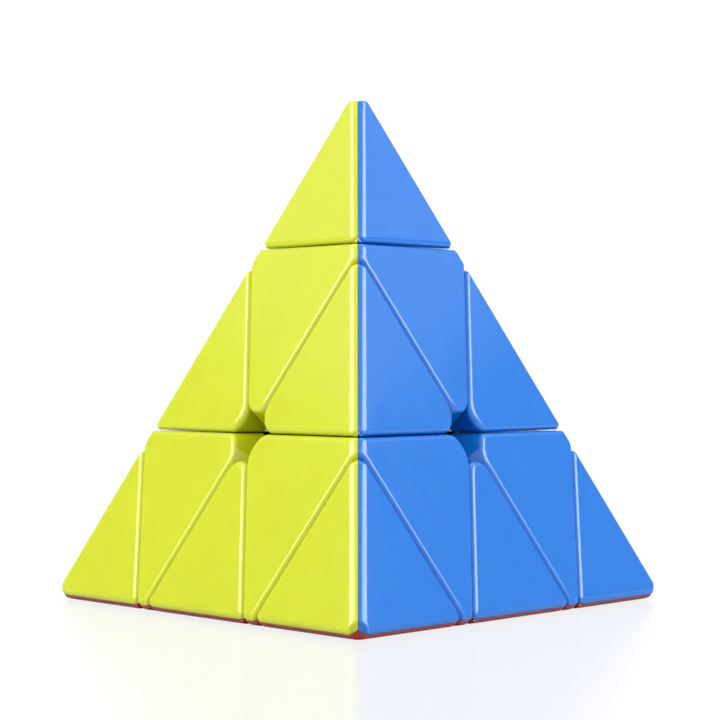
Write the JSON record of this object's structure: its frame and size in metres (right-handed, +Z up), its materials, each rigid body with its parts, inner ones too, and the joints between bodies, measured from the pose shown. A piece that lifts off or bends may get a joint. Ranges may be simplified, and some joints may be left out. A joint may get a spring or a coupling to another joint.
{
  "type": "pyramid twisty puzzle",
  "caption": "Tetrahedral turning puzzle in plain coloured plastic: tips, axial pieces and edge pieces of hollow shells turn round a sprung ball core.",
  "frame": {"origin": "centre of the core ball, where the four turning axes meet, which is the centre of the tetrahedron", "axes": "+Z runs up through the top corner, the front corner points toward -Y, +X is to the right of the front edge; the red face rests on the ground"},
  "size_m": [0.0984, 0.0855, 0.0804],
  "materials": {
    "yellow_plastic": "glossy moulded",
    "blue_plastic": "glossy moulded",
    "red_plastic": "glossy moulded",
    "green_plastic": "glossy moulded",
    "inner_plastic": "satin moulded",
    "screw_steel": "plated",
    "spring_steel": "drawn wire"
  },
  "bodies": {
    "lower_layer": {"core": "inner_plastic", "top_screw": "screw_steel", "front_screw": "screw_steel", "right_screw": "screw_steel", "left_screw": "screw_steel", "top_spring": "spring_steel", "front_spring": "spring_steel", "right_spring": "spring_steel", "left_spring": "spring_steel", "front_right_edge_foot": "inner_plastic", "front_right_edge_shell_red": "red_plastic", "front_right_edge_shell_blue": "blue_plastic", "front_left_edge_foot": "inner_plastic", "front_left_edge_shell_red": "red_plastic", "front_left_edge_shell_yellow": "yellow_plastic", "right_left_edge_foot": "inner_plastic", "right_left_edge_shell_red": "red_plastic", "right_left_edge_shell_green": "green_plastic"},
    "top_layer": {"top_front_edge_foot": "inner_plastic", "top_front_edge_shell_yellow": "yellow_plastic", "top_front_edge_shell_blue": "blue_plastic", "top_right_edge_foot": "inner_plastic", "top_right_edge_shell_green": "green_plastic", "top_right_edge_shell_blue": "blue_plastic", "top_left_edge_foot": "inner_plastic", "top_left_edge_shell_green": "green_plastic", "top_left_edge_shell_yellow": "yellow_plastic"},
    "top_axial": {"top_axial_base": "inner_plastic", "top_axial_shell_green": "green_plastic", "top_axial_shell_yellow": "yellow_plastic", "top_axial_shell_blue": "blue_plastic"},
    "top_tip": {"top_tip_stem": "inner_plastic", "top_tip_shell_green": "green_plastic", "top_tip_shell_yellow": "yellow_plastic", "top_tip_shell_blue": "blue_plastic"},
    "front_axial": {"front_axial_base": "inner_plastic", "front_axial_shell_red": "red_plastic", "front_axial_shell_yellow": "yellow_plastic", "front_axial_shell_blue": "blue_plastic"},
    "front_tip": {"front_tip_stem": "inner_plastic", "front_tip_shell_red": "red_plastic", "front_tip_shell_yellow": "yellow_plastic", "front_tip_shell_blue": "blue_plastic"},
    "right_axial": {"right_axial_base": "inner_plastic", "right_axial_shell_red": "red_plastic", "right_axial_shell_green": "green_plastic", "right_axial_shell_blue": "blue_plastic"},
    "right_tip": {"right_tip_stem": "inner_plastic", "right_tip_shell_red": "red_plastic", "right_tip_shell_green": "green_plastic", "right_tip_shell_blue": "blue_plastic"},
    "left_axial": {"left_axial_base": "inner_plastic", "left_axial_shell_red": "red_plastic", "left_axial_shell_green": "green_plastic", "left_axial_shell_yellow": "yellow_plastic"},
    "left_tip": {"left_tip_stem": "inner_plastic", "left_tip_shell_red": "red_plastic", "left_tip_shell_green": "green_plastic", "left_tip_shell_yellow": "yellow_plastic"}
  },
  "joints": [
    {"name": "top_layer_turn", "type": "hinge", "parent": "lower_layer", "child": "top_layer", "pos_m": [0, 0, 0], "axis": [0, 0, 1], "continuous": true},
    {"name": "top_axial_travel", "type": "slide", "parent": "top_layer", "child": "top_axial", "axis": [0, 0, 1], "range_m": [0, 0.0006], "stiffness_N_per_m": 1500, "springref_m": -0.0015, "deforming": ["top_spring"]},
    {"name": "front_axial_travel", "type": "slide", "parent": "lower_layer", "child": "front_axial", "axis": [0, -0.9428, -0.3333], "range_m": [0, 0.0006], "stiffness_N_per_m": 1500, "springref_m": -0.0015, "deforming": ["front_spring"]},
    {"name": "right_axial_travel", "type": "slide", "parent": "lower_layer", "child": "right_axial", "axis": [0.8165, 0.4714, -0.3333], "range_m": [0, 0.0006], "stiffness_N_per_m": 1500, "springref_m": -0.0015, "deforming": ["right_spring"]},
    {"name": "left_axial_travel", "type": "slide", "parent": "lower_layer", "child": "left_axial", "axis": [-0.8165, 0.4714, -0.3333], "range_m": [0, 0.0006], "stiffness_N_per_m": 1500, "springref_m": -0.0015, "deforming": ["left_spring"]},
    {"name": "top_tip_turn", "type": "hinge", "parent": "top_axial", "child": "top_tip", "pos_m": [0, 0, 0], "axis": [0, 0, 1], "continuous": true},
    {"name": "front_tip_turn", "type": "hinge", "parent": "front_axial", "child": "front_tip", "pos_m": [0, 0, 0], "axis": [0, -0.9428, -0.3333], "continuous": true},
    {"name": "right_tip_turn", "type": "hinge", "parent": "right_axial", "child": "right_tip", "pos_m": [0, 0, 0], "axis": [0.8165, 0.4714, -0.3333], "continuous": true},
    {"name": "left_tip_turn", "type": "hinge", "parent": "left_axial", "child": "left_tip", "pos_m": [0, 0, 0], "axis": [-0.8165, 0.4714, -0.3333], "continuous": true}
  ]
}
